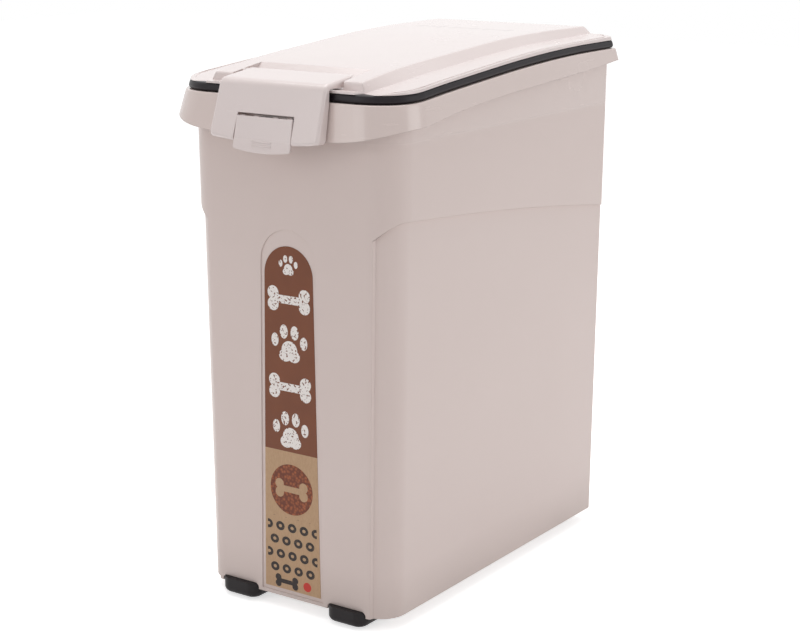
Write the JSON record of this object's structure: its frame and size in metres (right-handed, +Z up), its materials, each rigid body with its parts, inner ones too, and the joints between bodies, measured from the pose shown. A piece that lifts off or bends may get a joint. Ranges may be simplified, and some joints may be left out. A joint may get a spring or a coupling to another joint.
{
  "type": "pet food storage container",
  "caption": "Tall wheeled storage bin with a turned-down collar, sealed hinged lid, fold-down front latch with a release tab, and a long label strip on its front.",
  "frame": {"origin": "on the ground, under the middle of the whole container's bounding box", "axes": "+Z up; -Y towards the front with the latch and label; +X to the right as seen from the front"},
  "size_m": [0.2948, 0.4929, 0.5854],
  "materials": {
    "bin_plastic": "satin moulded plastic, warm light beige",
    "lid_plastic": "semi-gloss moulded plastic, warm light beige",
    "label_film": "printed film, brown above and tan below",
    "seal_rubber": "near-black soft rubber, slight sheen",
    "housing_plastic": "black moulded plastic",
    "wheel_plastic": "black hard plastic with a dull tread",
    "pin_steel": "drawn steel wire"
  },
  "bodies": {
    "container": {"bin": "bin_plastic", "label": "label_film", "lid_hinge_pin_left": "pin_steel", "lid_hinge_pin_right": "pin_steel", "wheel_housing_front_left": "housing_plastic", "wheel_housing_front_right": "housing_plastic", "wheel_housing_rear_left": "housing_plastic", "wheel_housing_rear_right": "housing_plastic", "axle_front_left": "pin_steel", "axle_front_right": "pin_steel", "axle_rear_left": "pin_steel", "axle_rear_right": "pin_steel"},
    "lid": {"lid": "lid_plastic", "lid_gasket": "seal_rubber", "latch_pin_left": "pin_steel", "latch_pin_right": "pin_steel"},
    "latch": {"latch_plate": "lid_plastic", "tab_pin": "pin_steel", "tab_spring": "pin_steel"},
    "tab": {"release_tab": "lid_plastic"},
    "wheel_front_left_body": {"wheel_front_left": "wheel_plastic"},
    "wheel_front_right_body": {"wheel_front_right": "wheel_plastic"},
    "wheel_rear_left_body": {"wheel_rear_left": "wheel_plastic"},
    "wheel_rear_right_body": {"wheel_rear_right": "wheel_plastic"}
  },
  "joints": [
    {"name": "lid_hinge", "type": "hinge", "parent": "container", "child": "lid", "pos_m": [0, 0.241, 0.5555], "axis": [-1, 0, 0], "range_deg": [0, 105]},
    {"name": "latch_pivot", "type": "hinge", "parent": "lid", "child": "latch", "pos_m": [0, -0.184, 0.5598], "axis": [-1, 0, 0], "range_deg": [0, 80]},
    {"name": "tab_pivot", "type": "hinge", "parent": "latch", "child": "tab", "pos_m": [0, -0.235, 0.5221], "axis": [-1, 0, 0], "range_deg": [0, 22], "stiffness_Nm_per_rad": 0.05},
    {"name": "wheel_spin_front_left", "type": "hinge", "parent": "container", "child": "wheel_front_left_body", "pos_m": [-0.0698, -0.185, 0.0145], "axis": [1, 0, 0], "continuous": true},
    {"name": "wheel_spin_front_right", "type": "hinge", "parent": "container", "child": "wheel_front_right_body", "pos_m": [0.0698, -0.185, 0.0145], "axis": [1, 0, 0], "continuous": true},
    {"name": "wheel_spin_rear_left", "type": "hinge", "parent": "container", "child": "wheel_rear_left_body", "pos_m": [-0.0698, 0.197, 0.0145], "axis": [1, 0, 0], "continuous": true},
    {"name": "wheel_spin_rear_right", "type": "hinge", "parent": "container", "child": "wheel_rear_right_body", "pos_m": [0.0698, 0.197, 0.0145], "axis": [1, 0, 0], "continuous": true}
  ]
}
